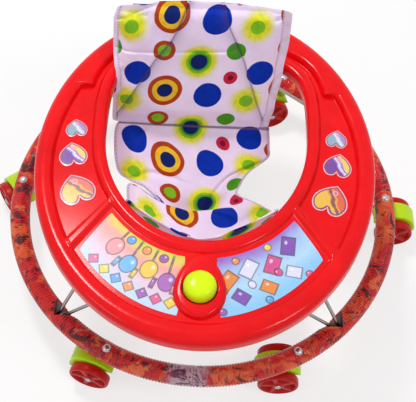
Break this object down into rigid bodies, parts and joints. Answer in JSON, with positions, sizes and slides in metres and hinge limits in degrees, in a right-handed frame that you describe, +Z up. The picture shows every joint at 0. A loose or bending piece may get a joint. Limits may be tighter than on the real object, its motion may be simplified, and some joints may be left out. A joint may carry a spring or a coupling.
{
  "type": "baby activity walker",
  "caption": "Round-based baby walker: moulded activity tray with a squeaker knob, cloth sling seat, folding wire legs and a sleeved ring base on twin-wheel casters.",
  "frame": {"origin": "on the floor, below the middle of the footprint's box", "axes": "+Z up, -Y towards the front of the walker, where the squeaker knob is; +X to the right in a view from the front"},
  "size_m": [0.6688, 0.6122, 0.3747],
  "materials": {
    "steel_wire": "polished",
    "base_steel": "bright zinc",
    "rivet_steel": "polished",
    "axle_steel": "polished",
    "sleeve_print": "marbled red, orange and maroon print under a clear ribbed skin",
    "tray_red": "gloss moulded red",
    "wheel_red": "moulded red",
    "hood_lime": "moulded lime green",
    "button_lime": "gloss lime green",
    "label_paper": "printed sheet",
    "heart_foil": "printed sheet",
    "seat_fabric": "printed woven cloth",
    "board_grey": "moulded sheet",
    "clip_dark": "moulded",
    "spring_wire": "bright"
  },
  "bodies": {
    "base": {"base_tube": "base_steel", "sleeve_left": "sleeve_print", "sleeve_right": "sleeve_print", "sleeve_rear": "sleeve_print", "caster_rivet_right": "rivet_steel", "caster_rivet_rear_right": "rivet_steel", "caster_rivet_rear_left": "rivet_steel", "caster_rivet_left": "rivet_steel", "caster_rivet_front_left": "rivet_steel", "caster_rivet_front_right": "rivet_steel"},
    "front_frame": {"front_legs": "steel_wire"},
    "rear_frame": {"rear_legs": "steel_wire"},
    "tray": {"tray_shell": "tray_red", "picture_panel_left": "label_paper", "picture_panel_right": "label_paper", "heart_left_rear": "heart_foil", "heart_left_middle": "heart_foil", "heart_left_front": "heart_foil", "heart_right_rear": "heart_foil", "heart_right_middle": "heart_foil", "heart_right_front": "heart_foil", "button_spring": "spring_wire", "squeaker_case": "clip_dark", "front_clip_left": "clip_dark", "front_clip_middle": "clip_dark", "front_clip_right": "clip_dark", "rear_clip_left": "clip_dark", "rear_clip_middle": "clip_dark", "rear_clip_right": "clip_dark", "seat_back": "seat_fabric", "back_board": "board_grey", "seat_sling": "seat_fabric"},
    "button": {"squeaker_button": "button_lime"},
    "caster_right": {"caster_hood_right": "hood_lime", "caster_axle_right": "axle_steel"},
    "wheel_right_a": {"wheel_right_a": "wheel_red"},
    "wheel_right_b": {"wheel_right_b": "wheel_red"},
    "caster_rear_right": {"caster_hood_rear_right": "hood_lime", "caster_axle_rear_right": "axle_steel"},
    "wheel_rear_right_a": {"wheel_rear_right_a": "wheel_red"},
    "wheel_rear_right_b": {"wheel_rear_right_b": "wheel_red"},
    "caster_rear_left": {"caster_hood_rear_left": "hood_lime", "caster_axle_rear_left": "axle_steel"},
    "wheel_rear_left_a": {"wheel_rear_left_a": "wheel_red"},
    "wheel_rear_left_b": {"wheel_rear_left_b": "wheel_red"},
    "caster_left": {"caster_hood_left": "hood_lime", "caster_axle_left": "axle_steel"},
    "wheel_left_a": {"wheel_left_a": "wheel_red"},
    "wheel_left_b": {"wheel_left_b": "wheel_red"},
    "caster_front_left": {"caster_hood_front_left": "hood_lime", "caster_axle_front_left": "axle_steel"},
    "wheel_front_left_a": {"wheel_front_left_a": "wheel_red"},
    "wheel_front_left_b": {"wheel_front_left_b": "wheel_red"},
    "caster_front_right": {"caster_hood_front_right": "hood_lime", "caster_axle_front_right": "axle_steel"},
    "wheel_front_right_a": {"wheel_front_right_a": "wheel_red"},
    "wheel_front_right_b": {"wheel_front_right_b": "wheel_red"}
  },
  "joints": [
    {"name": "fold", "type": "hinge", "parent": "base", "child": "front_frame", "pos_m": [-0.00184, -0.18657, 0.081], "axis": [-1, 0, 0], "range_deg": [0, 55]},
    {"name": "tray_level", "type": "hinge", "parent": "front_frame", "child": "tray", "pos_m": [-0.00184, -0.17458, 0.236], "axis": [-1, 0, 0], "range_deg": [-55, 0]},
    {"name": "rear_fold", "type": "hinge", "parent": "base", "child": "rear_frame", "pos_m": [-0.00184, 0.17203, 0.081], "axis": [-1, 0, 0], "range_deg": [0, 55]},
    {"name": "button_press", "type": "slide", "parent": "tray", "child": "button", "axis": [0, 0, -1], "range_m": [0, 0.004], "stiffness_N_per_m": 500, "springref_m": -0.002, "deforming": ["button_spring"]},
    {"name": "swivel_right", "type": "hinge", "parent": "base", "child": "caster_right", "pos_m": [0.27764, 0.02852, 0.066], "axis": [0, 0, 1], "continuous": true},
    {"name": "spin_right_a", "type": "hinge", "parent": "caster_right", "child": "wheel_right_a", "pos_m": [0.30014, 0.00732, 0.0295], "axis": [0, 1, 0], "continuous": true},
    {"name": "spin_right_b", "type": "hinge", "parent": "caster_right", "child": "wheel_right_b", "pos_m": [0.30014, 0.04972, 0.0295], "axis": [0, 1, 0], "continuous": true},
    {"name": "swivel_rear_right", "type": "hinge", "parent": "base", "child": "caster_rear_right", "pos_m": [0.1231, 0.26201, 0.066], "axis": [0, 0, 1], "continuous": true},
    {"name": "spin_rear_right_a", "type": "hinge", "parent": "caster_rear_right", "child": "wheel_rear_right_a", "pos_m": [0.09538, 0.2757, 0.0295], "axis": [0.2924, -0.9563, 0], "continuous": true},
    {"name": "spin_rear_right_b", "type": "hinge", "parent": "caster_rear_right", "child": "wheel_rear_right_b", "pos_m": [0.10778, 0.23515, 0.0295], "axis": [0.2924, -0.9563, 0], "continuous": true},
    {"name": "swivel_rear_left", "type": "hinge", "parent": "base", "child": "caster_rear_left", "pos_m": [-0.12677, 0.26201, 0.066], "axis": [0, 0, 1], "continuous": true},
    {"name": "spin_rear_left_a", "type": "hinge", "parent": "caster_rear_left", "child": "wheel_rear_left_a", "pos_m": [-0.09838, 0.24978, 0.0295], "axis": [-0.342, 0.9397, 0], "continuous": true},
    {"name": "spin_rear_left_b", "type": "hinge", "parent": "caster_rear_left", "child": "wheel_rear_left_b", "pos_m": [-0.11288, 0.28962, 0.0295], "axis": [-0.342, 0.9397, 0], "continuous": true},
    {"name": "swivel_left", "type": "hinge", "parent": "base", "child": "caster_left", "pos_m": [-0.28097, 0.03339, 0.066], "axis": [0, 0, 1], "continuous": true},
    {"name": "spin_left_a", "type": "hinge", "parent": "caster_left", "child": "wheel_left_a", "pos_m": [-0.27758, 0.06412, 0.0295], "axis": [-0.7986, -0.6018, 0], "continuous": true},
    {"name": "spin_left_b", "type": "hinge", "parent": "caster_left", "child": "wheel_left_b", "pos_m": [-0.31144, 0.0386, 0.0295], "axis": [-0.7986, -0.6018, 0], "continuous": true},
    {"name": "swivel_front_left", "type": "hinge", "parent": "base", "child": "caster_front_left", "pos_m": [-0.12677, -0.23916, 0.066], "axis": [0, 0, 1], "continuous": true},
    {"name": "spin_front_left_a", "type": "hinge", "parent": "caster_front_left", "child": "wheel_front_left_a", "pos_m": [-0.14302, -0.21286, 0.0295], "axis": [-0.2588, -0.9659, 0], "continuous": true},
    {"name": "spin_front_left_b", "type": "hinge", "parent": "caster_front_left", "child": "wheel_front_left_b", "pos_m": [-0.15399, -0.25381, 0.0295], "axis": [-0.2588, -0.9659, 0], "continuous": true},
    {"name": "swivel_front_right", "type": "hinge", "parent": "base", "child": "caster_front_right", "pos_m": [0.13817, -0.23106, 0.066], "axis": [0, 0, 1], "continuous": true},
    {"name": "spin_front_right_a", "type": "hinge", "parent": "caster_front_right", "child": "wheel_front_right_a", "pos_m": [0.11567, -0.20986, 0.0295], "axis": [0, -1, 0], "continuous": true},
    {"name": "spin_front_right_b", "type": "hinge", "parent": "caster_front_right", "child": "wheel_front_right_b", "pos_m": [0.11567, -0.25226, 0.0295], "axis": [0, -1, 0], "continuous": true}
  ],
  "couplings": [
    {"joint": "tray_level", "follows": "fold", "ratio": -1},
    {"joint": "rear_fold", "follows": "fold", "ratio": 1}
  ]
}
